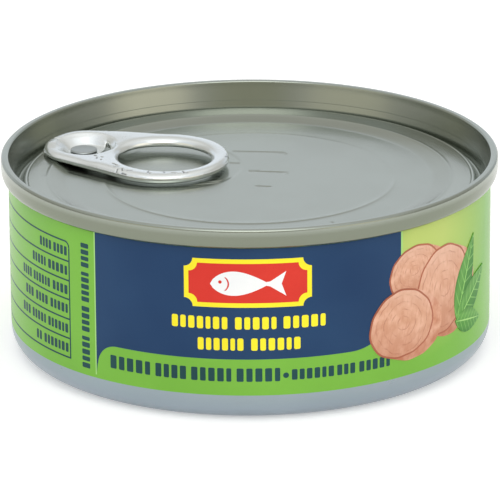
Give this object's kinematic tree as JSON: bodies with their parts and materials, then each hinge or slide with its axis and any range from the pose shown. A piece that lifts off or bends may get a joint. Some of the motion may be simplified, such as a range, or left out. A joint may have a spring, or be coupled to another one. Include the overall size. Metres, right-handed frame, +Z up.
{
  "type": "tuna can",
  "caption": "Low round food can, shut, with a seamed easy-open lid, a ring-pull tab with a finger hole and a printed wall.",
  "frame": {"origin": "middle of the base, on the surface that the can stands on", "axes": "+Z up along the can's axis; the middle of the printed front faces -Y and the tab's narrow end points to -X"},
  "size_m": [0.0874, 0.0874, 0.035],
  "materials": {
    "printed_wall": "glossy lacquered print, green with a navy front panel, over bare tin at the base",
    "lid_lacquer": "clear lacquered steel, glossy grey with a faint olive cast",
    "tab_aluminium": "bright, with small nicks along its edge",
    "bare_tin": "bare drawn metal, satin, bluish"
  },
  "bodies": {
    "root": {"can_body": "printed_wall", "can_lid": "lid_lacquer", "pull_tab": "tab_aluminium"}
  },
  "joints": []
}
